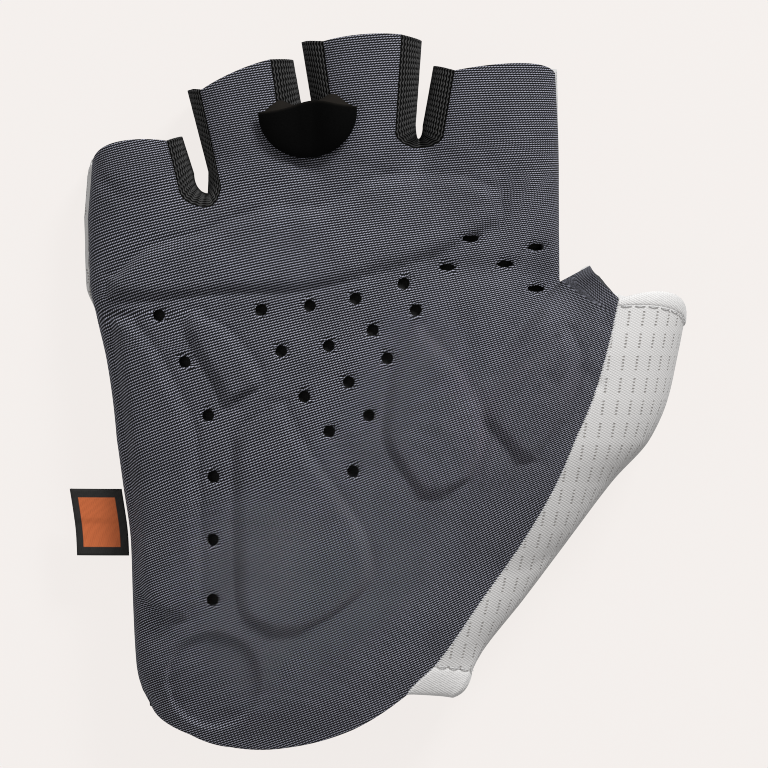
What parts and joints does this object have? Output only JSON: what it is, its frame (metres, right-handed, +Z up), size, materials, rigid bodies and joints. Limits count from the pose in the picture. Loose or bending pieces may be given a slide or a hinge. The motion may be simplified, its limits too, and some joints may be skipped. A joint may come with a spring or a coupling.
{
  "type": "cycling glove",
  "caption": "Right-hand half-finger cycling glove with padded grey palm, white mesh back, black elastic between the fingers and a pull tab, lying palm up.",
  "frame": {"origin": "middle of the underside's bounding box, on the surface that the glove lies on", "axes": "+X towards the thumb, +Y towards the fingertips, +Z up out of the palm"},
  "size_m": [0.129, 0.1482, 0.0318],
  "materials": {
    "grey_knit": "fine sloping knit, slight sheen",
    "white_mesh": "ribbed eyelet mesh",
    "white_hem": "turned hem with one row of stitches",
    "black_elastic": "ribbed elastic",
    "black_tab": "matt",
    "woven_label": "fine woven",
    "pad_foam": "closed-cell foam"
  },
  "bodies": {
    "root": {"palm_panel": "grey_knit", "back_panel": "white_mesh", "cuff_hem": "white_hem", "thumb_hem": "white_hem", "fourchette_little_ring": "black_elastic", "fourchette_ring_middle": "black_elastic", "fourchette_middle_index": "black_elastic", "pull_tab": "black_tab", "side_label": "woven_label", "metacarpal_pad": "pad_foam", "ulnar_pad": "pad_foam", "ulnar_wedge_pad": "pad_foam", "heel_pad": "pad_foam", "thenar_pad": "pad_foam", "thumb_pad": "pad_foam"}
  },
  "joints": []
}
